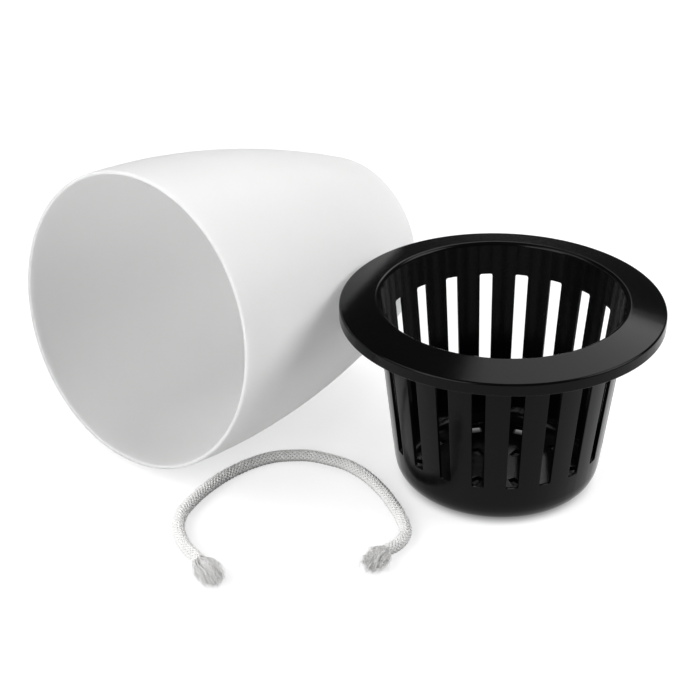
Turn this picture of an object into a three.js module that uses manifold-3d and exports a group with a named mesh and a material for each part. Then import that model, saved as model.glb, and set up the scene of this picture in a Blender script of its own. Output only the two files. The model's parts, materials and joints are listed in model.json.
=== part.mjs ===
// Self-watering pot laid apart on a table: a tapered outer pot on its side, the slotted inner
// basket that hangs in its mouth, and the cotton wick that lifts water into the basket.
// Millimetres, +Z up. The origin is on the table, under the middle of the pot and the basket.
import * as THREE from 'three';
import { mergeVertices } from 'three/addons/utils/BufferGeometryUtils.js';
import Module from 'manifold-3d';

const wasm = await Module();
wasm.setup();

const { degToRad } = THREE.MathUtils;

// Outer pot
const potHeight = 135.3;
const mouthRadius = 62.3;
const footRadius = 40.5;
const mouthLean = degToRad(1.85); // the wall still widens at this slope just below the mouth
const footLean = degToRad(18.35); // slope of the wall where it meets the foot
const potWall = 1.6;
const potFloor = 2;
const footRound = 2;
const footRingWidth = 4.5;
const footRecess = 1.2;
const potInnerRound = 5;
const potSides = 48;
const potWallSteps = 10;

// Inner basket
const basketHeight = 81.2;
const cupFootRadius = 40.9; // where the straight wall would reach the table
const cupLean = degToRad(6.88);
const basketWall = 1.4;
const basketFloor = 2;
const cupFootRound = 10;
const rollRadius = 1.6; // the wall turns over this radius into the flange
const flangeDrop = 3.1;
const lipDepth = 4.9;
const lipWall = 1.7;
const lipEdgeRound = 0.8;
const lipClearance = 1; // between the flange's lip and the pot's mouth
const basketSides = 60;

// Slots in the basket's wall and floor
const slotCount = 20;
const slotAngle = degToRad(6.4);
const slotTurn = degToRad(7.82); // the first slot, from the +X side
const slotBottom = 18.5;
const slotTop = 67.3;
const slotCorner = 0.8;
const slotCornerSteps = 2;
const cutterReach = 3; // how far a cutter runs on past the wall that it cuts
const drainCount = 10; // in each of the two rings
const innerDrain = { start: 11, end: 16.5, angle: degToRad(14), rib: 0 };
const outerDrain = { start: 28, end: 34, angle: degToRad(9), rib: 1 }; // under every other rib

// Cotton wick
const wickDiameter = 5.2;
const wickSides = 10;
const wickStep = 2.2; // length of a step, in diameters
const tableClearance = 0.1;
const wickHoleClearance = 1.2;
const joinGap = 0.3; // between the rope and its frayed ends
const leftFray = { length: 19, halfWidth: 5.8, flatness: 0.72, turn: degToRad(-10) };
const rightFray = { length: 14.5, halfWidth: 5.2, flatness: 0.85, turn: degToRad(20) };
const frayFlare = 0.25; // shares of the length where it flares, is widest and closes
const frayWidest = 0.6;
const frayClosing = 0.9;
const frayClosingWidth = 0.72; // share of the half width there
const frayNeck = 0.85; // neck radius, as a share of the rope's own radius
const fraySides = 12;
const frayRings = 9;

// How the pieces lie
const potTilt = degToRad(6.7); // the lying pot's mouth is a little higher than its foot
const mouthAhead = 88.8; // the mouth's centre is this far in front of the basket's axis
const besideGap = 1.8; // between the pot's side and the basket's lip
const besideSteps = 150;

// Facets of the round corners
const cornerSteps = 5;
const edgeSteps = 3;
const mergeDistance = 1e-4;

const flangeRadius = mouthRadius + lipClearance + lipWall;
const flangeOuterTop = basketHeight - flangeDrop;
const lipBottom = flangeOuterTop - lipDepth;
const wickHoleRadius = wickDiameter / 2 + wickHoleClearance;
const frayNeckRadius = (wickDiameter / 2) * frayNeck;

const potPlastic = new THREE.MeshStandardMaterial({ color: 0xececeb, roughness: 0.32, metalness: 0 });
const basketPlastic = new THREE.MeshStandardMaterial({ color: 0x1b1b1c, roughness: 0.42, metalness: 0 });
const cotton = new THREE.MeshStandardMaterial({ color: 0xe8e6e1, roughness: 0.95, metalness: 0 });

const point = (x, y) => new THREE.Vector2(x, y);

// A round corner between two straight runs, from start to end around their corner
function roundCorner(start, corner, end, steps) {
  return new THREE.QuadraticBezierCurve(start, corner, end).getPoints(steps);
}

function arc(centreX, centreY, radius, fromAngle, toAngle, steps) {
  const clockwise = toAngle < fromAngle;
  const curve = new THREE.EllipseCurve(centreX, centreY, radius, radius, fromAngle, toAngle, clockwise);
  return curve.getPoints(steps);
}

// A profile of radius and height, turned about the +Z axis
function turned(profile, sides) {
  const geometry = new THREE.LatheGeometry(profile, sides);
  geometry.rotateX(Math.PI / 2);
  return geometry;
}

function toSolid(geometry) {
  const bare = geometry.clone();
  bare.deleteAttribute('normal');
  bare.deleteAttribute('uv');
  const merged = mergeVertices(bare.index ? bare.toNonIndexed() : bare, mergeDistance);
  const triVerts = new Uint32Array(merged.index.array);
  const vertProperties = new Float32Array(merged.attributes.position.array);
  return new wasm.Manifold(new wasm.Mesh({ numProp: 3, vertProperties, triVerts }));
}

function toGeometry(solid) {
  const mesh = solid.getMesh();
  const geometry = new THREE.BufferGeometry();
  geometry.setAttribute('position', new THREE.BufferAttribute(mesh.vertProperties, 3));
  geometry.setIndex(new THREE.BufferAttribute(mesh.triVerts, 1));
  return geometry;
}

function namedMesh(name, geometry, material) {
  const mesh = new THREE.Mesh(geometry, material);
  mesh.name = name;
  return mesh;
}

// Outer radius of the pot at a height above its foot: one smooth curve from foot to mouth
const potCurve = new THREE.CubicBezierCurve(
  point(footRadius, 0),
  point(footRadius + (Math.tan(footLean) * potHeight) / 3, potHeight / 3),
  point(mouthRadius + (Math.tan(mouthLean) * potHeight) / 3, (potHeight * 2) / 3),
  point(mouthRadius, potHeight),
);

function potRadiusAt(height) {
  return potCurve.getPoint(height / potHeight).x;
}

function potWallPoints(fromHeight, toHeight, inset) {
  const points = [];
  for (let step = 0; step <= potWallSteps; step += 1) {
    const height = THREE.MathUtils.lerp(fromHeight, toHeight, step / potWallSteps);
    points.push(point(potRadiusAt(height) - inset, height));
  }
  return points;
}

function makePot() {
  const ringOuter = footRadius - footRound;
  const ringInner = ringOuter - footRingWidth;
  const floorTop = footRecess + potFloor;
  const rimRound = potWall / 2;
  const innerFoot = potRadiusAt(floorTop) - potWall;
  const innerStart = floorTop + potInnerRound;
  const profile = [
    point(0, footRecess),
    point(ringInner, footRecess),
    point(ringInner, 0),
    ...roundCorner(
      point(ringOuter, 0),
      point(footRadius, 0),
      point(potRadiusAt(footRound), footRound),
      edgeSteps,
    ),
    ...potWallPoints(footRound, potHeight - rimRound, 0).slice(1),
    ...arc(mouthRadius - rimRound, potHeight - rimRound, rimRound, 0, Math.PI, cornerSteps).slice(1, -1),
    ...potWallPoints(potHeight - rimRound, innerStart, potWall),
    ...roundCorner(
      point(potRadiusAt(innerStart) - potWall, innerStart),
      point(innerFoot, floorTop),
      point(innerFoot - potInnerRound, floorTop),
      cornerSteps,
    ).slice(1),
    point(0, floorTop),
  ];
  return turned(profile, potSides);
}

function cupRadiusAt(height) {
  return cupFootRadius + Math.tan(cupLean) * height;
}

// The basket's section runs up the outside of the cup, out under the flange, round its lip, back
// over the top, down the inside of the cup and across its floor to the wick's hole
function makeBasketShell() {
  const rollHeight = basketHeight - rollRadius;
  const rollCentre = cupRadiusAt(rollHeight) - basketWall + rollRadius;
  const underRoll = rollRadius - basketWall;
  const lipInner = flangeRadius - lipWall;
  const flangeSlope = flangeDrop / (flangeRadius - rollCentre);
  const underLip = flangeOuterTop + flangeSlope * lipWall - basketWall;
  const innerFootRound = cupFootRound - basketWall;
  const innerFoot = cupRadiusAt(basketFloor) - basketWall;
  const innerStart = basketFloor + innerFootRound;
  const profile = [
    point(wickHoleRadius, 0),
    ...roundCorner(
      point(cupFootRadius - cupFootRound, 0),
      point(cupFootRadius, 0),
      point(cupRadiusAt(cupFootRound), cupFootRound),
      cornerSteps,
    ),
    ...arc(rollCentre, rollHeight, underRoll, Math.PI, Math.PI / 2, edgeSteps),
    point(lipInner, underLip),
    point(lipInner, lipBottom),
    point(flangeRadius, lipBottom),
    ...roundCorner(
      point(flangeRadius, flangeOuterTop - lipEdgeRound),
      point(flangeRadius, flangeOuterTop),
      point(flangeRadius - lipEdgeRound, flangeOuterTop + flangeSlope * lipEdgeRound),
      edgeSteps,
    ),
    ...arc(rollCentre, rollHeight, rollRadius, Math.PI / 2, Math.PI, cornerSteps),
    ...roundCorner(
      point(cupRadiusAt(innerStart) - basketWall, innerStart),
      point(innerFoot, basketFloor),
      point(innerFoot - innerFootRound, basketFloor),
      cornerSteps,
    ),
    point(wickHoleRadius, basketFloor),
    point(wickHoleRadius, 0),
  ];
  return turned(profile, basketSides);
}

// One upright slot: wider at the top, since the ribs keep their share of a wider cup
function slotCutter() {
  const lowHalf = cupRadiusAt(slotBottom) * Math.tan(slotAngle / 2);
  const highHalf = cupRadiusAt(slotTop) * Math.tan(slotAngle / 2);
  const shape = new THREE.Shape();
  shape.moveTo(-lowHalf + slotCorner, slotBottom);
  shape.lineTo(lowHalf - slotCorner, slotBottom);
  shape.quadraticCurveTo(lowHalf, slotBottom, lowHalf, slotBottom + slotCorner);
  shape.lineTo(highHalf, slotTop - slotCorner);
  shape.quadraticCurveTo(highHalf, slotTop, highHalf - slotCorner, slotTop);
  shape.lineTo(-highHalf + slotCorner, slotTop);
  shape.quadraticCurveTo(-highHalf, slotTop, -highHalf, slotTop - slotCorner);
  shape.lineTo(-lowHalf, slotBottom + slotCorner);
  shape.quadraticCurveTo(-lowHalf, slotBottom, -lowHalf + slotCorner, slotBottom);
  const start = cupRadiusAt(slotBottom) - basketWall - cutterReach;
  const depth = cupRadiusAt(slotTop) + cutterReach - start;
  const settings = { depth, bevelEnabled: false, curveSegments: slotCornerSteps };
  const geometry = new THREE.ExtrudeGeometry(shape, settings);
  geometry.translate(0, 0, start);
  const alongX = new THREE.Vector3(1, 0, 0);
  const sideways = new THREE.Vector3(0, 1, 0);
  const upright = new THREE.Vector3(0, 0, 1);
  return geometry.applyMatrix4(new THREE.Matrix4().makeBasis(sideways, upright, alongX));
}

// One drain slot through the floor, under a rib: a wedge that widens outward
function drainCutter({ start, end, angle, rib }) {
  const shape = new THREE.Shape();
  shape.absarc(0, 0, end, -angle / 2, angle / 2);
  shape.absarc(0, 0, start, angle / 2, -angle / 2, true);
  shape.closePath();
  const depth = basketFloor + 2 * cutterReach;
  const settings = { depth, bevelEnabled: false, curveSegments: slotCornerSteps };
  const geometry = new THREE.ExtrudeGeometry(shape, settings);
  geometry.translate(0, 0, -cutterReach);
  return geometry.rotateZ(((rib + 0.5) * Math.PI * 2) / slotCount);
}

function cutRing(solid, cutter, count) {
  let result = solid;
  for (let copy = 0; copy < count; copy += 1) {
    const placed = cutter.clone().rotateZ(slotTurn + (copy * Math.PI * 2) / count);
    result = result.subtract(toSolid(placed));
  }
  return result;
}

function makeBasket() {
  const shell = toSolid(makeBasketShell());
  const slotted = cutRing(shell, slotCutter(), slotCount);
  const drained = cutRing(slotted, drainCutter(innerDrain), drainCount);
  return toGeometry(cutRing(drained, drainCutter(outerDrain), drainCount));
}

// The rope's route on the table, from the basket's axis: from the left frayed end, round behind, to
// the right one
const ropeRest = wickDiameter / 2 + tableClearance;
const wickRoute = [
  [-45.6, -129.9, 3.9],
  [-56.2, -126.4, 3.2],
  [-67.6, -119, ropeRest],
  [-74, -111, ropeRest],
  [-77.1, -103.5, ropeRest],
  [-79.7, -91.9, ropeRest],
  [-80.7, -80.2, ropeRest],
  [-80, -70.1, ropeRest],
  [-78.1, -61.3, ropeRest],
  [-74.7, -53.9, ropeRest],
  [-69.6, -48.3, ropeRest],
  [-63.7, -43.8, ropeRest],
  [-56.1, -41.2, ropeRest],
  [-47.7, -39.6, ropeRest],
  [-37.2, -40.8, ropeRest],
  [-26.8, -44.3, ropeRest],
  [-17.5, -48.8, ropeRest],
  [-6.9, -55.2, ropeRest],
  [1.1, -61.8, ropeRest],
  [4.2, -67.4, ropeRest],
  [5.2, -73.8, 3.1],
  [4.8, -79.6, 4.1],
].map(([x, y, z]) => new THREE.Vector3(x, y, z));

function makeRope(curve) {
  const section = new THREE.Shape();
  const outline = [];
  for (let side = 0; side < wickSides; side += 1) {
    const angle = (side * Math.PI * 2) / wickSides;
    outline.push(point((Math.cos(angle) * wickDiameter) / 2, (Math.sin(angle) * wickDiameter) / 2));
  }
  section.setFromPoints(outline);
  const steps = Math.round(curve.getLength() / (wickStep * wickDiameter));
  return new THREE.ExtrudeGeometry(section, { steps, extrudePath: curve, bevelEnabled: false });
}

// A frayed end: it leaves the rope as a neck, flares into a soft brush and lies flat on the table
function makeFray({ length, halfWidth, flatness }) {
  const outline = new THREE.CatmullRomCurve3([
    new THREE.Vector3(frayNeckRadius, 0, 0),
    new THREE.Vector3((frayNeckRadius + halfWidth) / 2, length * frayFlare, 0),
    new THREE.Vector3(halfWidth, length * frayWidest, 0),
    new THREE.Vector3(halfWidth * frayClosingWidth, length * frayClosing, 0),
    new THREE.Vector3(0, length, 0),
  ]);
  const flank = outline.getPoints(frayRings).map((spot) => point(Math.max(spot.x, 0), spot.y));
  const profile = [point(0, 0), ...flank];
  const geometry = turned(profile, fraySides);
  geometry.rotateY(Math.PI / 2);
  return geometry.scale(1, 1, flatness);
}

// A frayed end turns aside from the rope's own line, and its neck stays clear of the rope's end
function placeFray(name, fray, curve, along) {
  const mesh = namedMesh(name, makeFray(fray), cotton);
  const outward = curve.getTangent(along).multiplyScalar(along === 0 ? -1 : 1);
  outward.z = 0;
  outward.normalize().applyAxisAngle(new THREE.Vector3(0, 0, 1), fray.turn);
  const away = joinGap + frayNeckRadius * Math.abs(Math.sin(fray.turn));
  mesh.rotation.z = Math.atan2(outward.y, outward.x);
  mesh.position.copy(curve.getPoint(along)).addScaledVector(outward, away);
  mesh.position.z = fray.halfWidth * fray.flatness + joinGap;
  return mesh;
}

// Distance between the basket's axis and the lying pot's axis, where the pot's side comes nearest to
// the lower edge of the basket's lip
function besideDistance(footMiddle) {
  const reach = flangeRadius + besideGap;
  let distance = 0;
  for (let step = 0; step <= besideSteps; step += 1) {
    const height = (step / besideSteps) * potHeight;
    const ahead = mouthAhead - (potHeight - height) * Math.cos(potTilt);
    const rise = lipBottom - footMiddle - height * Math.sin(potTilt);
    const halfWidth = Math.sqrt(Math.max(0, potRadiusAt(height) ** 2 - rise ** 2));
    const across = Math.sqrt(Math.max(0, reach ** 2 - ahead ** 2));
    distance = Math.max(distance, halfWidth + across);
  }
  return distance;
}

const basket = namedMesh('inner_basket', makeBasket(), basketPlastic);

const pot = namedMesh('outer_pot', makePot(), potPlastic);
pot.rotation.x = Math.PI / 2 - potTilt;
pot.position.y = potHeight * Math.cos(potTilt) - mouthAhead;
pot.position.z = -new THREE.Box3().setFromObject(pot, true).min.z;
pot.position.x = -besideDistance(pot.position.z);

const wares = new THREE.Group();
wares.add(basket, pot);
const middle = new THREE.Box3().setFromObject(wares, true).getCenter(new THREE.Vector3());

const wickCurve = new THREE.CatmullRomCurve3(wickRoute);
const wick = new THREE.Group();
wick.add(
  namedMesh('wick_rope', makeRope(wickCurve), cotton),
  placeFray('wick_left_fray', leftFray, wickCurve, 0),
  placeFray('wick_right_fray', rightFray, wickCurve, 1),
);

const selfWateringPot = new THREE.Group();
selfWateringPot.add(wares, wick);
selfWateringPot.position.set(-middle.x, -middle.y, 0);

export default selfWateringPot;
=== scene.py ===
import json
import math
import random

import bmesh
import bpy
from mathutils import Matrix, Vector
from mathutils.geometry import interpolate_bezier
from mathutils.kdtree import KDTree


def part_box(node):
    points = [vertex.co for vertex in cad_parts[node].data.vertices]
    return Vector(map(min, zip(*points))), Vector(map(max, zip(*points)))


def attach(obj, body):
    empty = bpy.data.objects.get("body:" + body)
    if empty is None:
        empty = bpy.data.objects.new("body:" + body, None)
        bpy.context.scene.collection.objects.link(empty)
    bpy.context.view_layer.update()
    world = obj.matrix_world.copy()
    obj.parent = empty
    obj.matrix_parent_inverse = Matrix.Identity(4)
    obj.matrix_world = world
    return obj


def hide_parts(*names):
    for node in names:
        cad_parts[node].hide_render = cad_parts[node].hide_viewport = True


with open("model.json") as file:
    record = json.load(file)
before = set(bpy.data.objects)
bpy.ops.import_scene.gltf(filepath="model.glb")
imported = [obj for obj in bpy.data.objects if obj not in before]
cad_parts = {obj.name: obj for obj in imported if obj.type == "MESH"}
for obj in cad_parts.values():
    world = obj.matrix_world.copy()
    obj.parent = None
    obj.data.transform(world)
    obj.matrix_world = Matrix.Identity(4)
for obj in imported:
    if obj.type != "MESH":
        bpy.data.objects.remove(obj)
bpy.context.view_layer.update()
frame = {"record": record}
record = frame["record"]
scene = bpy.context.scene
upright = Vector((0, 0, 1))

basketLow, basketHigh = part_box("inner_basket")
basketFoot = (basketLow + basketHigh) / 2
basketFoot.z = 0


# camera
view = {
    "fromBasket": (0.41532, -0.59401, 0.45589),  # from the middle of the basket's foot
    "downward": 28.904,
    "azimuth": 39.753,
    "lens": 105.59,
    "sensor": 36,
}
camera = bpy.data.cameras.new("camera")
camera.lens = view["lens"]
camera.sensor_width = view["sensor"]
cameraObject = bpy.data.objects.new("camera", camera)
cameraObject.location = basketFoot + Vector(view["fromBasket"])
cameraObject.rotation_euler = (math.radians(90 - view["downward"]), 0, math.radians(view["azimuth"]))
scene.collection.objects.link(cameraObject)
scene.camera = cameraObject
scene.view_settings.view_transform = "Standard"
sight = Matrix.Rotation(math.radians(view["azimuth"]), 3, "Z")
rightward, farther = sight @ Vector((1, 0, 0)), sight @ Vector((0, 1, 0))  # as the camera sees the table
print("camera set")


# shader sums: a socket that can be added, multiplied and taken from a number
class Wire:
    def __init__(self, tree, socket):
        self.tree = tree
        self.socket = socket

    def make(self, kind, settings=None, sockets=None, output=0):
        node = self.tree.nodes.new("ShaderNode" + kind)
        for name, value in (settings or {}).items():
            setattr(node, name, value)
        for name, value in (sockets or {}).items():
            if isinstance(value, Wire):
                self.tree.links.new(value.socket, node.inputs[name])
            else:
                node.inputs[name].default_value = value
        return Wire(self.tree, node.outputs[output])

    def sum(self, operation, first, second):
        return self.make("Math", {"operation": operation}, {0: first, 1: second})

    def __add__(self, other):
        return self.sum("ADD", self, other)

    def __radd__(self, other):
        return self.sum("ADD", other, self)

    def __rsub__(self, other):
        return self.sum("SUBTRACT", other, self)

    def __mul__(self, other):
        return self.sum("MULTIPLY", self, other)


def newMaterial(name):
    material = bpy.data.materials.new(name)
    material.use_nodes = True
    tree = material.node_tree
    shader = tree.nodes["Principled BSDF"]
    place = Wire(tree, tree.nodes.new("ShaderNodeTexCoord").outputs["Object"])
    return material, shader, place


def feed(shader, name, wire):
    wire.tree.links.new(wire.socket, shader.inputs[name])


def mixColour(factor, first, second):
    ends = [colour if isinstance(colour, Wire) else (*colour, 1) for colour in (first, second)]
    return factor.make("Mix", {"data_type": "RGBA"}, {0: factor, 6: ends[0], 7: ends[1]}, 2)


def noise(place, sockets):
    return place.make("TexNoise", None, {"Vector": place} | sockets)


def bump(height, sockets):
    return height.make("Bump", None, {"Height": height} | sockets)


def attribute(place, name):
    return place.make("Attribute", {"attribute_name": name}, None, "Fac")


def mapped(value, ends, low, high):  # low before the first end, high after the second
    return value.make(
        "MapRange",
        {"interpolation_type": "SMOOTHSTEP"},
        {"Value": value, "From Min": ends[0], "From Max": ends[1], "To Min": low, "To Max": high},
    )


# finishes
potFinish = {
    "light": (0.92, 0.92, 0.917),
    "dark": (0.89, 0.89, 0.887),
    "cloud": {"Scale": 26, "Detail": 4},
    "peel": {"Scale": 900, "Detail": 2},
    "peelBump": {"Strength": 0.35, "Distance": 0.00004},
    "gloss": (0.46, 0.56),
    "specular": 0.3,
    "through": 1.0,  # the wall lets some light through
    "throughDepth": 0.009,
}


def makePotPlastic():
    material, shader, place = newMaterial("white_satin_plastic")
    cloud = noise(place, potFinish["cloud"])
    peel = noise(place, potFinish["peel"])
    low, high = potFinish["gloss"]
    feed(shader, "Base Color", mixColour(cloud, potFinish["dark"], potFinish["light"]))
    feed(shader, "Roughness", low + cloud * (high - low))
    feed(shader, "Normal", bump(peel, potFinish["peelBump"]))
    shader.inputs["Specular IOR Level"].default_value = potFinish["specular"]
    shader.inputs["Subsurface Weight"].default_value = potFinish["through"]
    shader.inputs["Subsurface Radius"].default_value = (1, 1, 1)
    shader.inputs["Subsurface Scale"].default_value = potFinish["throughDepth"]
    return material


basketFinish = {
    "light": (0.003, 0.003, 0.0032),
    "dark": (0.0016, 0.0016, 0.0018),
    "cloud": {"Scale": 38, "Detail": 5},
    "grain": {"Scale": 1700, "Detail": 3, "Roughness": 0.65},
    "grainBump": {"Strength": 0.5, "Distance": 0.00004},
    "gloss": (0.1, 0.15),
    "specular": 0.095,
}


def makeBasketPlastic():
    material, shader, place = newMaterial("black_moulded_plastic")
    cloud = noise(place, basketFinish["cloud"])
    grain = noise(place, basketFinish["grain"])
    low, high = basketFinish["gloss"]
    feed(shader, "Base Color", mixColour(cloud, basketFinish["dark"], basketFinish["light"]))
    feed(shader, "Roughness", low + cloud * (high - low))
    feed(shader, "Normal", bump(grain, basketFinish["grainBump"]))
    shader.inputs["Specular IOR Level"].default_value = basketFinish["specular"]
    return material


cottonFinish = {
    "light": (0.95, 0.947, 0.94),
    "dark": (0.84, 0.835, 0.825),
    "paintedGapShade": (0.3, 0.295, 0.29),  # painted shade between the strands, also on the frays' darker yarns
    "deepRange": (0.62, 0.86),  # from the middle of the rope, in shares of its radius; nearer the middle the painted gap shade takes over
    "under": 0.8,  # how much painted shade darkens the rope's underside
    "fleck": {"Scale": 420, "Detail": 4, "Roughness": 0.6},
    "fibre": {"Scale": 2600, "Detail": 4, "Roughness": 0.7},
    "fleckShare": 0.6,  # of the mottle; the rest is fibre
    "fibreBump": {"Strength": 0.7, "Distance": 0.00012},
    "roughness": 0.95,
    "sheen": 0.35,
}


def makeCotton():
    material, shader, place = newMaterial("braided_cotton")
    fleck = noise(place, cottonFinish["fleck"])
    fibre = noise(place, cottonFinish["fibre"])
    # painted shade in the braid's gaps, by the 'outward' attribute
    raised = mapped(attribute(place, "outward"), cottonFinish["deepRange"], 0, 1)
    # painted shade on the rope's underside, near the table
    shaded = mapped(attribute(place, "under"), (0, 1), 0, cottonFinish["under"])
    shown = raised * (1 - shaded)
    fleckShare = cottonFinish["fleckShare"]
    mottle = fleck * fleckShare + fibre * (1 - fleckShare)
    surface = mixColour(mottle, cottonFinish["dark"], cottonFinish["light"])
    feed(shader, "Base Color", mixColour(shown, cottonFinish["paintedGapShade"], surface))
    feed(shader, "Normal", bump(fibre, cottonFinish["fibreBump"]))
    shader.inputs["Roughness"].default_value = cottonFinish["roughness"]
    shader.inputs["Sheen Weight"].default_value = cottonFinish["sheen"]
    return material


potPlastic = makePotPlastic()
basketPlastic = makeBasketPlastic()
cotton = makeCotton()
print("finishes made")


def addPiece(name, mesh, material, body, node):
    piece = bpy.data.objects.new(name, mesh)
    scene.collection.objects.link(piece)
    mesh.materials.clear()
    mesh.materials.append(material)
    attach(piece, body)
    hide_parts(node)
    return piece


# wick: a round braid of cotton strands over a core, with both ends frayed
wick = {
    "diameter": 0.0052,
    "length": 0.2,
    "rest": 0.0027,  # height of the rope's middle where it lies flat
    "strands": 8,  # in each direction
    "yarnRadius": 0.00046,
    "weave": 0.0003,  # how far a strand goes over and under
    "slant": 38,
    "routeSteps": 14,  # of the curve from one point of the route to the next
    "step": 0.0003,  # of the strands, along the rope
    "coreRadius": 0.0015,
    "coreStride": 8,  # steps of the strands for one of the core
    "pathStride": 6,  # and for one of a path that is computed and not used
    "endSteps": 12,  # steps that give the direction of an end
    "hairs": 1400,
    "hairLength": (0.0008, 0.0024),
    "hairRadius": 0.00003,
    "hairRoot": 0.42,  # share of the diameter
    "hairArc": (-0.1, 1.1),  # in half turns, so that none is under the rope
    "hairShape": [(0, 0, 1), (0.6, 0.5, 0.8), (0.95, 0.8, 0.4)],  # outward, of the length, of the radius
    "hairless": 4,  # steps at each end
    "roundness": {"strand": 1, "core": 3, "thread": 0},  # bevel steps of the tubes
    "joinGap": 0.0003,
    "under": (0.0007, 0.003),  # heights over the table between which painted shade darkens the rope's underside
    "seed": 7,
}
leftFray = {"length": 0.019, "halfWidth": 0.0058, "flatness": 0.72, "turn": -10, "seed": 21}
rightFray = {"length": 0.0145, "halfWidth": 0.0052, "flatness": 0.85, "turn": 20, "seed": 34}
frayYarn = {
    "count": 90,  # yarns that come apart, each into loose threads
    "threads": 6,
    "radius": (0.00007, 0.00014),
    "points": 14,
    "neck": 0.85,  # share of the rope's radius where the yarns leave it
    "yarnTurn": 2.4,  # radians from one yarn to the next, about the golden angle
    "turnSpread": 0.3,
    "widest": 0.45,  # share of the length
    "closing": 0.1,  # how much narrower the tip is
    "closingFrom": 0.6,  # share of a thread
    "settled": 0.5,  # share of a thread where the fray's middle has its own height
    "shortest": 0.74,  # share of the length that the outermost yarns reach
    "yarnReach": (0.92, 1),
    "threadReach": (0.8, 1),
    "taper": 0.5,
    "loose": (0.0002, 0.0006),  # how far threads stray from their yarn, at the neck and at the tip
    "wave": 0.0008,
    "pace": (5, 10),  # of the waves, in radians along a yarn
    "drift": 0.3,  # between the waves of a yarn's threads
    "wild": 0.3,  # share of the threads that stray farther
    "farther": (0.6, 3),  # in times of loose
    "inside": 0.001,  # the threads start this far inside the rope
    "clearance": 0.0003,  # over the table
    "shade": (0.68, 1.0),  # of the yarns: the inner ones darker as painted shade, with a random tone on top
}

wickRoute = [  # from the basket's axis, from the left end round behind to the right end
    (-0.0456, -0.1299, 0.0039), (-0.0562, -0.1264, 0.0032), (-0.0676, -0.1190, wick["rest"]),
    (-0.0740, -0.1110, wick["rest"]), (-0.0771, -0.1035, wick["rest"]), (-0.0797, -0.0919, wick["rest"]),
    (-0.0807, -0.0802, wick["rest"]), (-0.0800, -0.0701, wick["rest"]), (-0.0781, -0.0613, wick["rest"]),
    (-0.0747, -0.0539, wick["rest"]), (-0.0696, -0.0483, wick["rest"]), (-0.0637, -0.0438, wick["rest"]),
    (-0.0561, -0.0412, wick["rest"]), (-0.0477, -0.0396, wick["rest"]), (-0.0372, -0.0408, wick["rest"]),
    (-0.0268, -0.0443, wick["rest"]), (-0.0175, -0.0488, wick["rest"]), (-0.0069, -0.0552, wick["rest"]),
    (0.0011, -0.0618, wick["rest"]), (0.0042, -0.0674, wick["rest"]), (0.0052, -0.0738, 0.0031),
    (0.0048, -0.0796, 0.0041),
]


def smoothLine(points, steps):  # a curve through the points
    line = []
    last = len(points) - 1
    for index in range(last):
        start, end = points[index], points[index + 1]
        before, after = points[max(index - 1, 0)], points[min(index + 2, last)]
        leaving, arriving = (end - before) / 6, (after - start) / 6
        line += interpolate_bezier(start, start + leaving, end - arriving, end, steps)[:-1]
    return line + [points[last]]


def evenLine(line, step):  # the same curve in even steps
    marks = [0.0]
    for start, end in zip(line, line[1:]):
        marks.append(marks[-1] + (end - start).length)
    count = round(marks[-1] / step)
    even, index = [], 0
    for number in range(count + 1):
        mark = marks[-1] * number / count
        while index < len(line) - 2 and marks[index + 1] < mark:
            index += 1
        share = (mark - marks[index]) / (marks[index + 1] - marks[index])
        even.append(line[index].lerp(line[index + 1], share))
    return even


def crossAxes(line):  # level and upward directions across the line, at each point
    axes = []
    for index in range(len(line)):
        along = line[min(index + 1, len(line) - 1)] - line[max(index - 1, 0)]
        level = along.cross(upright).normalized()
        axes.append((level, level.cross(along).normalized()))
    return axes


def tubesMesh(name, lines, radius, resolution):  # each line is a list of (point, share of the radius)
    curve = bpy.data.curves.new(name, "CURVE")
    curve.dimensions = "3D"
    curve.bevel_depth = radius
    curve.bevel_resolution = resolution
    curve.use_fill_caps = True
    for line in lines:
        spline = curve.splines.new("POLY")
        spline.points.add(len(line) - 1)
        for knot, (point, share) in zip(spline.points, line):
            knot.co = (*point, 1)
            knot.radius = share
    holder = bpy.data.objects.new(name, curve)
    scene.collection.objects.link(holder)
    mesh = bpy.data.meshes.new_from_object(holder.evaluated_get(bpy.context.evaluated_depsgraph_get()))
    bpy.data.objects.remove(holder)
    bpy.data.curves.remove(curve)
    return mesh


def outwardShares(mesh, line, radius):  # how far each point is from the middle line
    middle = KDTree(len(line))
    for index, point in enumerate(line):
        middle.insert(point, index)
    middle.balance()
    return [min(1, middle.find(vertex.co)[2] / radius) for vertex in mesh.vertices]


def markPoints(mesh, name, values):
    mesh.attributes.new(name, "FLOAT", "POINT").data.foreach_set("value", values)


def braidLines(line, axes):
    middle = wick["diameter"] / 2 - wick["yarnRadius"] - wick["weave"]
    turn = math.tan(math.radians(wick["slant"])) / middle * wick["step"]  # each step
    lines = []
    for strand in range(wick["strands"]):
        for way in (1, -1):
            points = []
            for index, (centre, (level, above)) in enumerate(zip(line, axes)):
                angle = math.tau * strand / wick["strands"] + way * turn * index
                reach = middle + way * wick["weave"] * math.cos(wick["strands"] * turn * index)
                across = level * math.cos(angle) + above * math.sin(angle)
                points.append((centre + across * reach, 1))
            lines.append(points)
    return lines


def hairLines(line, axes):
    chance = random.Random(wick["seed"])
    lines = []
    for _ in range(wick["hairs"]):
        index = chance.randrange(wick["hairless"], len(line) - wick["hairless"])
        level, above = axes[index]
        angle = chance.uniform(*wick["hairArc"]) * math.pi
        out = level * math.cos(angle) + above * math.sin(angle)
        lean = above.cross(level) * chance.uniform(-1, 1)
        length = chance.uniform(*wick["hairLength"])
        root = line[index] + out * wick["diameter"] * wick["hairRoot"]
        hair = []
        for outward, reach, thickness in wick["hairShape"]:
            hair.append((root + (out * outward + lean) * length * reach, thickness))
        lines.append(hair)
    return lines


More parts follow.
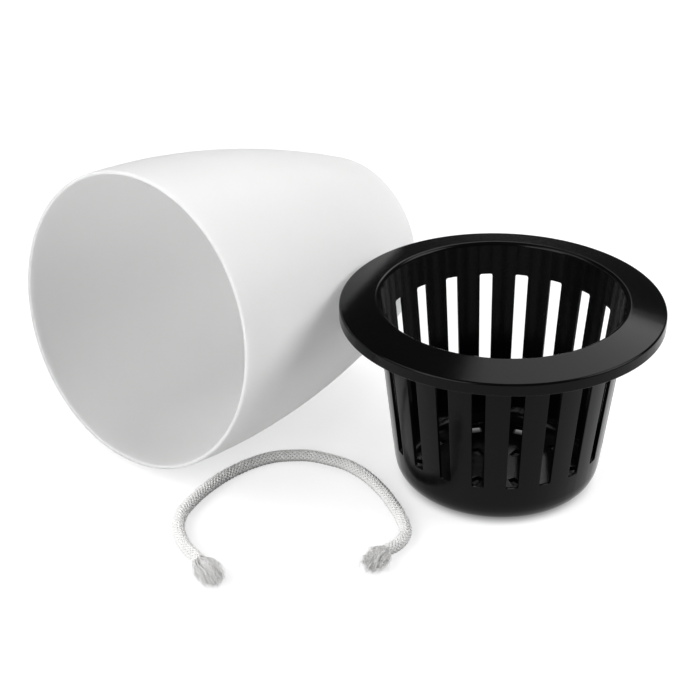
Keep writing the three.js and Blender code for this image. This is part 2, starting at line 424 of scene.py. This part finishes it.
def newYarn(fray, number, chance):
    dark, pale = frayYarn["shade"]
    swerve = frayYarn["turnSpread"]
    spread = math.sqrt((number + 0.5) / frayYarn["count"])  # share of the way out from the middle
    # painted shade on the inner yarns, plus a random tone for each yarn
    shade = dark + (pale - dark) * (spread + chance.random()) / 2
    angle = frayYarn["yarnTurn"] * number + chance.uniform(-swerve, swerve)
    reach = fray["length"] * (1 - (1 - frayYarn["shortest"]) * spread ** 2)
    reach *= chance.uniform(*frayYarn["yarnReach"])
    phases = [chance.uniform(0, math.tau) for _ in range(2)]
    pace = chance.uniform(*frayYarn["pace"])
    return {"spread": spread, "shade": shade, "angle": angle, "reach": reach, "phases": phases, "pace": pace}


def threadSteps(fray, yarn, chance):  # share of the thread, then along, aside, up and share of the radius
    thin, thick = frayYarn["radius"]
    tight, loose = frayYarn["loose"]
    neck = wick["diameter"] / 2 * frayYarn["neck"]
    stray, astray = math.sqrt(chance.random()), chance.uniform(0, math.tau)
    if chance.random() < frayYarn["wild"]:
        stray += chance.uniform(*frayYarn["farther"])
    own = yarn["reach"] * chance.uniform(*frayYarn["threadReach"])
    drift = chance.uniform(-frayYarn["drift"], frayYarn["drift"])
    radius = chance.uniform(thin, thick) / thick
    steps = []
    for number in range(frayYarn["points"]):
        share = number / (frayYarn["points"] - 1)
        flare = math.sin(min(1, share * own / fray["length"] / frayYarn["widest"]) * math.pi / 2)
        late = max(0, share - frayYarn["closingFrom"]) / (1 - frayYarn["closingFrom"])
        wide = yarn["spread"] * (neck + (fray["halfWidth"] - loose - neck) * flare)
        wide *= 1 - frayYarn["closing"] * late ** 2
        apart = stray * (tight + (loose - tight) * share)
        swing = yarn["pace"] * share + drift
        waves = [frayYarn["wave"] * share * math.sin(phase + swing) for phase in yarn["phases"]]
        along = own * share - frayYarn["inside"] * (1 - share)
        aside = wide * math.cos(yarn["angle"]) + apart * math.cos(astray) + waves[0]
        up = wide * math.sin(yarn["angle"]) + apart * math.sin(astray) + waves[1]
        steps.append((share, along, aside, up, radius * (1 - frayYarn["taper"] * share)))
    return steps


def frayLines(fray, end, outward):
    chance = random.Random(fray["seed"])
    across = outward.cross(upright)
    neck = wick["diameter"] / 2 * frayYarn["neck"]
    start = end + outward * (wick["joinGap"] + neck * abs(math.sin(math.radians(fray["turn"]))))
    rise = fray["halfWidth"] * fray["flatness"] + wick["joinGap"]
    lines, shades = [], []
    for number in range(frayYarn["count"]):
        yarn = newYarn(fray, number, chance)
        for _ in range(frayYarn["threads"]):
            points = []
            for share, along, aside, up, radius in threadSteps(fray, yarn, chance):
                level = end.z + (rise - end.z) * min(1, share / frayYarn["settled"])
                point = start + outward * along + across * aside
                point.z = max(level + up * fray["flatness"], frayYarn["clearance"])
                points.append((point, radius))
            lines.append(points)
            shades.append(yarn["shade"])
    return lines, shades


def makeFray(name, fray, end, inner):
    outward = end - inner
    outward.z = 0
    outward.rotate(Matrix.Rotation(math.radians(fray["turn"]), 3, "Z"))
    threads, shades = frayLines(fray, end, outward.normalized())
    mesh = tubesMesh(f"wick_{name}_threads", threads, frayYarn["radius"][1], wick["roundness"]["thread"])
    share = len(mesh.vertices) // len(threads)  # all threads have as many points
    # the yarns' shades, with painted shade on the inner ones, as the 'outward' attribute
    markPoints(mesh, "outward", [shade for shade in shades for _ in range(share)])
    return addPiece(f"wick_{name}_threads", mesh, cotton, "wick", f"wick_{name}_fray")


def makeRope(line):
    axes = crossAxes(line)
    roundness = wick["roundness"]
    coreLine = [(point, 1) for point in line[:: wick["coreStride"]] + line[-1:]]
    bm = bmesh.new()
    for mesh in (
        tubesMesh("wick_braid", braidLines(line, axes), wick["yarnRadius"], roundness["strand"]),
        tubesMesh("wick_core", [coreLine], wick["coreRadius"], roundness["core"]),
        tubesMesh("wick_hairs", hairLines(line, axes), wick["hairRadius"], roundness["thread"]),
    ):
        bm.from_mesh(mesh)
    for face in bm.faces:
        face.smooth = True
    rope = bpy.data.meshes.new("wick_rope_braid")
    bm.to_mesh(rope)
    bm.free()
    # painted gap shade: points nearer the rope's middle get darker
    markPoints(rope, "outward", outwardShares(rope, line, wick["diameter"] / 2))
    # painted shade under the rope, by height over the table
    low, high = wick["under"]
    markPoints(rope, "under", [(high - vertex.co.z) / (high - low) for vertex in rope.vertices])
    return rope


def makeWick():
    route = [basketFoot + Vector(point) for point in wickRoute]
    line = evenLine(smoothLine(route, wick["routeSteps"]), wick["step"])
    rope = makeRope(line)
    pieces = [
        makeFray("left", leftFray, line[0], line[wick["endSteps"]]),
        makeFray("right", rightFray, line[-1], line[-1 - wick["endSteps"]]),
    ]
    piece = addPiece("wick_rope_braid", rope, cotton, "wick", "wick_rope")
    [tuple(point) for point in line[:: wick["pathStride"]] + line[-1:]]


makeWick()
print("wick braided and frayed")


# rounded sections, spun about an upright axis
meshing = {"mergeDistance": 0.000004, "sharpAngle": 40}


def roundedLine(corners, steps):  # each corner is (radius, height, how far its round starts from it)
    spots = [Vector((radius, 0, height)) for radius, height, _ in corners]
    line = [spots[0]]
    for index in range(1, len(spots) - 1):
        spot, setback = spots[index], corners[index][2]
        if not setback:
            line.append(spot)
            continue
        start = spot + (spots[index - 1] - spot).normalized() * setback
        end = spot + (spots[index + 1] - spot).normalized() * setback
        line += interpolate_bezier(start, start.lerp(spot, 2 / 3), end.lerp(spot, 2 / 3), end, steps)
    return line + [spots[-1]]


def arcCorners(radius, height, size, start, end, steps):  # points of an arc, as corners with no round
    corners = []
    for number in range(steps + 1):
        angle = math.radians(start + (end - start) * number / steps)
        corners.append((radius + size * math.cos(angle), height + size * math.sin(angle), 0))
    return corners


def addLine(bm, line):
    spots = [bm.verts.new(point) for point in line]
    return spots + [bm.edges.new(pair) for pair in zip(spots, spots[1:])]


def spin(bm, geom, angle, steps, **settings):
    settings = {"cent": (0, 0, 0), "axis": upright, "angle": math.radians(angle), "steps": steps} | settings
    return bmesh.ops.spin(bm, geom=geom, **settings)["geom_last"]


def closeShape(bm):
    bmesh.ops.remove_doubles(bm, verts=bm.verts[:], dist=meshing["mergeDistance"])
    bmesh.ops.recalc_face_normals(bm, faces=bm.faces[:])


def smoothMesh(name, bm):
    for face in bm.faces:
        face.smooth = True
    mesh = bpy.data.meshes.new(name)
    bm.to_mesh(mesh)
    bm.free()
    mesh.set_sharp_from_angle(angle=math.radians(meshing["sharpAngle"]))
    return mesh


# outer pot
pot = {
    "height": 0.1353,
    "mouthRadius": 0.0623,
    "footRadius": 0.0405,
    "mouthLean": 1.85,
    "footLean": 18.35,
    "wall": 0.0016,
    "floor": 0.002,
    "footRound": 0.002,
    "ringWidth": 0.0045,
    "recess": 0.0012,
    "innerRound": 0.005,
    "edgeRound": 0.0005,
    "sides": 180,
    "wallSteps": 44,
    "cornerSteps": 7,
}


def potRadius(height):  # one curve from the foot to the mouth, by the lean at both ends
    share, third = height / pot["height"], pot["height"] / 3
    foot, mouth = pot["footRadius"], pot["mouthRadius"]
    low = foot + math.tan(math.radians(pot["footLean"])) * third
    high = mouth + math.tan(math.radians(pot["mouthLean"])) * third
    rest = 1 - share
    lower = foot * rest ** 3 + 3 * low * share * rest ** 2
    return lower + 3 * high * share ** 2 * rest + mouth * share ** 3


def potWallCorners(start, end, inset):
    heights = [start + (end - start) * number / pot["wallSteps"] for number in range(pot["wallSteps"] + 1)]
    return [(potRadius(height) - inset, height, 0) for height in heights]


def potSection():
    wall, edge, mouth = pot["wall"], pot["edgeRound"], pot["mouthRadius"]
    ringInner = pot["footRadius"] - pot["footRound"] - pot["ringWidth"]
    floorTop = pot["recess"] + pot["floor"]
    low, high = 2 * pot["footRound"], pot["height"] - wall
    innerLow = floorTop + 2 * pot["innerRound"]
    corners = [(0, pot["recess"], 0), (ringInner, pot["recess"], edge), (ringInner, 0, edge)]
    corners += [(pot["footRadius"], 0, pot["footRound"])]
    corners += potWallCorners(low, high, 0)
    corners += [(mouth, pot["height"], wall / 2), (mouth - wall, pot["height"], wall / 2)]
    corners += potWallCorners(high, innerLow, wall)
    corners += [(potRadius(floorTop) - wall, floorTop, pot["innerRound"]), (0, floorTop, 0)]
    return roundedLine(corners, pot["cornerSteps"])


def makePot():
    bm = bmesh.new()
    spin(bm, addLine(bm, potSection()), 360, pot["sides"], use_merge=True)
    closeShape(bm)
    axis = Vector(next(joint["axis"] for joint in record["behaviour"]["joints"] if joint["child"] == "pot"))
    foot = Vector(next(mount["pos_m"] for mount in record["mounts"] if mount["name"] == "pot_foot"))
    potLow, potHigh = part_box("outer_pot")
    foot.x = (potLow.x + potHigh.x) / 2  # the mount is beside the pot's own axis
    lie = Matrix.Translation(foot) @ upright.rotation_difference(axis).to_matrix().to_4x4()
    bmesh.ops.transform(bm, matrix=lie, verts=bm.verts[:])
    mesh = smoothMesh("outer_pot_shell", bm)
    addPiece("outer_pot_shell", mesh, potPlastic, "pot", "outer_pot")


makePot()
print("outer pot spun")


# inner basket
basket = {
    "height": 0.0812,
    "footRadius": 0.0409,  # where the straight wall would reach the table
    "lean": 6.88,
    "wall": 0.0014,
    "floor": 0.002,
    "footRound": 0.01,
    "rollRadius": 0.0016,
    "flangeRadius": 0.065,
    "flangeDrop": 0.0031,
    "lipDepth": 0.0049,
    "lipWall": 0.0017,
    "lipEdgeRound": 0.0008,
    "edgeRound": 0.0004,
    "wickHoleRadius": 0.0038,
    "slotCount": 20,
    "slotAngle": 6.4,
    "slotTurn": 7.82,
    "slotBottom": 0.0185,
    "slotTop": 0.0673,
    "slotRound": 0.0008,
    "rimRound": 0.0002,  # on the edges of the slots and drains
    "drainRound": 0.00015,
    "cornerAngle": 1,  # radians; corners of holes that are sharper get a round
    "rimAngle": 0.9,
    "cornerSegments": 3,
    "rimSegments": 2,
    "holeMargin": 0.1,  # degrees past a hole in which its rim is found
    "marginLength": 0.0001,  # the same margin as a length, for one degree
    "wallRows": 5,
    "columns": (1, 2, 4),  # of faces over a narrow, a middling and a wide stretch of the cup
    "cornerSteps": 7,
}
innerDrain = {"middle": 0, "angle": 14, "start": 0.011, "end": 0.0165}
outerDrain = {"middle": -18, "angle": 9, "start": 0.028, "end": 0.034}


def cupRadius(height):
    return basket["footRadius"] + math.tan(math.radians(basket["lean"])) * height


def cupWallCorners(inset):
    low, high, rows = basket["slotBottom"], basket["slotTop"], basket["wallRows"]
    heights = [low + (high - low) * row / rows for row in range(rows + 1)]
    return [(cupRadius(height) - inset, height, 0) for height in heights]


def basketSection():
    b = basket
    rollHeight = b["height"] - b["rollRadius"]
    rollMiddle = cupRadius(rollHeight) - b["wall"] + b["rollRadius"]
    underRoll = b["rollRadius"] - b["wall"]
    flangeTop = b["height"] - b["flangeDrop"]
    lipBottom, lipInner = flangeTop - b["lipDepth"], b["flangeRadius"] - b["lipWall"]
    slope = math.atan2(b["flangeDrop"], b["flangeRadius"] - rollMiddle)
    underLip = flangeTop + math.tan(slope) * b["lipWall"] - b["wall"]
    tilt = math.degrees(slope)
    corners = [(b["wickHoleRadius"], b["floor"] / 2, 0), (b["wickHoleRadius"], 0, b["edgeRound"])]
    drainRows = [innerDrain["start"], innerDrain["end"], outerDrain["start"]]
    corners += [(row, 0, 0) for row in drainRows]
    corners += [(b["footRadius"], 0, b["footRound"])]
    corners += cupWallCorners(0)
    corners += arcCorners(rollMiddle, rollHeight, underRoll, 180, 90 - tilt, b["cornerSteps"])
    corners += [(lipInner, underLip, b["edgeRound"]), (lipInner, lipBottom, b["edgeRound"])]
    corners += [(b["flangeRadius"], lipBottom, b["edgeRound"])]
    corners += [(b["flangeRadius"], flangeTop, b["lipEdgeRound"])]
    corners += arcCorners(rollMiddle, rollHeight, b["rollRadius"], 90 - tilt, 180, 2 * b["cornerSteps"])
    corners += cupWallCorners(b["wall"])[::-1]
    corners += [(cupRadius(b["floor"]) - b["wall"], b["floor"], b["footRound"] - b["wall"])]
    corners += [(row, b["floor"], 0) for row in reversed(drainRows)]
    corners += [(b["wickHoleRadius"], b["floor"], b["edgeRound"]), (b["wickHoleRadius"], b["floor"] / 2, 0)]
    return roundedLine(corners, b["cornerSteps"])


def angleOf(point):
    return math.degrees(math.atan2(point.y, point.x))


def middleOf(edge):
    return (edge.verts[0].co + edge.verts[1].co) / 2


def inSlot(middle, margin):
    half = basket["slotAngle"] / 2 + margin
    past = margin * basket["marginLength"]
    low, high = basket["slotBottom"] - past, basket["slotTop"] + past
    return lambda point: abs(angleOf(point) - middle) < half and low < point.z < high


def inDrain(drain, margin):
    half = drain["angle"] / 2 + margin
    past = margin * basket["marginLength"]
    low, high = drain["start"] - past, drain["end"] + past

    def inside(point):
        onFloor = point.z < 2 * basket["floor"] and low < point.xy.length < high
        return onFloor and abs(angleOf(point) - drain["middle"]) < half

    return inside


def bevel(bm, edges, size, segments):
    bmesh.ops.bevel(
        bm,
        geom=edges,
        offset=size,
        offset_type="OFFSET",
        affect="EDGES",
        segments=segments,
        profile=0.5,
        material=-1,
        clamp_overlap=False,
    )


def cutHole(bm, inside, near, roundSize):  # opens both skins, joins their rims, rounds corners and rims
    gone = [face for face in bm.faces if inside(face.calc_center_median())]
    bmesh.ops.delete(bm, geom=gone, context="FACES")
    rims = [edge for edge in bm.edges if edge.is_boundary and near(middleOf(edge))]
    made = bmesh.ops.bridge_loops(bm, edges=rims)["faces"]
    bmesh.ops.recalc_face_normals(bm, faces=bm.faces[:])
    sides = set(made)
    corners = [
        edge
        for edge in dict.fromkeys(edge for face in made for edge in face.edges)
        if all(face in sides for face in edge.link_faces)
        and edge.calc_face_angle(0) > basket["cornerAngle"]
    ]
    bevel(bm, corners, roundSize, basket["cornerSegments"])
    nearEdges = [edge for edge in bm.edges if near(middleOf(edge))]
    steep = [edge for edge in nearEdges if edge.calc_face_angle(0) > basket["rimAngle"]]
    bevel(bm, steep, basket["rimRound"], basket["rimSegments"])


def sectorStops(pitch):  # angles at which columns of faces end, and the columns up to each of them
    slotHalf = basket["slotAngle"] / 2
    innerHalf, outerHalf = innerDrain["angle"] / 2, outerDrain["angle"] / 2
    last = (pitch / 2 + slotHalf + pitch - outerHalf) / 2  # between a slot and the next outer drain
    few, some, many = basket["columns"]
    stops = [(last - 2 * pitch, 0), (-pitch - outerHalf, few), (outerHalf - pitch, many)]
    stops += [(-pitch / 2 - slotHalf, few), (-innerHalf, some), (-pitch / 2 + slotHalf, few)]
    stops += [(pitch / 2 - slotHalf, many), (innerHalf, few), (pitch / 2 + slotHalf, some)]
    return stops + [(last, few)]


def makeBasket():
    b = basket
    pitch = 360 / b["slotCount"]
    stops = sectorStops(pitch)
    bm = bmesh.new()
    edge = addLine(bm, basketSection())
    start = Matrix.Rotation(math.radians(stops[0][0]), 3, "Z")
    bmesh.ops.rotate(bm, verts=bm.verts[:], cent=(0, 0, 0), matrix=start)
    for (before, _), (after, columns) in zip(stops, stops[1:]):
        edge = spin(bm, edge, after - before, columns)
    closeShape(bm)
    for middle in (-pitch / 2, pitch / 2):
        cutHole(bm, inSlot(middle, 0), inSlot(middle, b["holeMargin"]), b["slotRound"])
    for drain in (innerDrain, outerDrain):
        cutHole(bm, inDrain(drain, 0), inDrain(drain, b["holeMargin"]), b["drainRound"])
    sector = bm.verts[:] + bm.edges[:] + bm.faces[:]  # two slots wide, turned round to the full cup
    copies = b["slotCount"] // 2 - 1
    spin(bm, sector, 2 * pitch * copies, copies, use_duplicate=True)
    closeShape(bm)
    turn = Matrix.Rotation(math.radians(b["slotTurn"] + pitch / 2), 4, "Z")
    bmesh.ops.transform(bm, matrix=Matrix.Translation(basketFoot) @ turn, verts=bm.verts[:])
    mesh = smoothMesh("inner_basket_shell", bm)
    piece = addPiece("inner_basket_shell", mesh, basketPlastic, "basket", "inner_basket")
    piece.modifiers.new("even_shading", "WEIGHTED_NORMAL").keep_sharp = True


makeBasket()
print("inner basket spun and slotted")


# table and light
studio = {
    "tableSize": 8,
    "tableDrop": 0.0003,
    "tableColour": 0.46,
    "tableLift": 0.68,  # makes the lit table white to the eye
    "tableFade": (0.66, 1.3),  # from the basket; the table is dim beyond
    "tableFar": 0.1,
    "tableRoughness": 0.9,
    "underFoot": (0.031, 0.042),  # painted shade under the basket's foot
    "footShade": 0.02,
    "bright": 0.08,  # the room on the camera's side and overhead
    "dark": 0.05,  # the room behind
    "brightSide": (0.3, -0.6, 0.74),  # rightward, farther, up
    "fade": (-0.2, 0.8),  # cosines from the bright side
}
softboxes = {  # seen from the basket, the turn clockwise from straight behind it
    "back": {"turn": 21, "rise": 48, "far": 1.2, "wide": 0.56, "tall": 0.72, "watts": 4.2},
    "right": {"turn": 95, "rise": 40, "far": 1.3, "wide": 0.8, "tall": 0.8, "watts": 12.4},
    "left": {"turn": -105, "rise": 45, "far": 1.3, "wide": 0.8, "tall": 0.8, "watts": 7.0},
    "mouth": {"turn": -138, "rise": 22, "far": 1.3, "wide": 0.8, "tall": 0.8, "watts": 10.4},
}


def asSeen(right, far, height):
    return rightward * right + farther * far + upright * height


def lightPath(tree, *names):
    rays = tree.nodes.new("ShaderNodeLightPath")
    total = Wire(tree, rays.outputs[names[0]])
    for name in names[1:]:
        total = total + Wire(tree, rays.outputs[name])
    return total


def makeTable():
    bm = bmesh.new()
    bmesh.ops.create_grid(bm, x_segments=1, y_segments=1, size=studio["tableSize"] / 2)
    bmesh.ops.translate(bm, verts=bm.verts[:], vec=(0, 0, -studio["tableDrop"]))
    mesh = bpy.data.meshes.new("table")
    bm.to_mesh(mesh)
    bm.free()
    table = bpy.data.objects.new("table", mesh)
    scene.collection.objects.link(table)
    material, shader, place = newMaterial("pale_table")
    away = place.make("VectorMath", {"operation": "DISTANCE"}, {0: place, 1: basketFoot}, "Value")
    faded = mapped(away, studio["tableFade"], 1, studio["tableFar"])
    # painted shade under the basket's foot, on the table's colour and lift
    pale = faded * mapped(away, studio["underFoot"], studio["footShade"], 1)
    seen = lightPath(material.node_tree, "Is Camera Ray", "Is Glossy Ray", "Is Transmission Ray")
    feed(shader, "Base Color", pale * studio["tableColour"])
    feed(shader, "Emission Color", seen * pale * studio["tableLift"])
    shader.inputs["Emission Strength"].default_value = 1
    shader.inputs["Roughness"].default_value = studio["tableRoughness"]
    shader.inputs["Specular IOR Level"].default_value = 0
    mesh.materials.append(material)


def makeWorld():
    world = bpy.data.worlds.new("studio")
    scene.world = world
    world.use_nodes = True
    tree = world.node_tree
    direction = Wire(tree, tree.nodes.new("ShaderNodeTexCoord").outputs["Generated"])
    side = asSeen(*studio["brightSide"]).normalized()
    facing = direction.make("VectorMath", {"operation": "DOT_PRODUCT"}, {0: direction, 1: side}, "Value")
    level = mapped(facing, studio["fade"], studio["dark"], studio["bright"])
    tree.links.new(level.socket, tree.nodes["Background"].inputs["Strength"])
    tree.nodes["Background"].inputs["Color"].default_value = (1, 1, 1, 1)


def makeSoftbox(name, softbox):
    lamp = bpy.data.lights.new(name, "AREA")
    lamp.shape = "RECTANGLE"
    lamp.size = softbox["wide"]
    lamp.size_y = softbox["tall"]
    lamp.energy = softbox["watts"]
    turn, rise = math.radians(softbox["turn"]), math.radians(softbox["rise"])
    level = math.cos(rise)
    toLamp = asSeen(math.sin(turn) * level, math.cos(turn) * level, math.sin(rise))
    holder = bpy.data.objects.new(name, lamp)
    holder.location = basketFoot + toLamp * softbox["far"]
    holder.rotation_euler = (-toLamp).to_track_quat("-Z", "Y").to_euler()
    scene.collection.objects.link(holder)


makeTable()
makeWorld()
for side, softbox in softboxes.items():
    makeSoftbox(f"{side}_softbox", softbox)
print("table and light set")
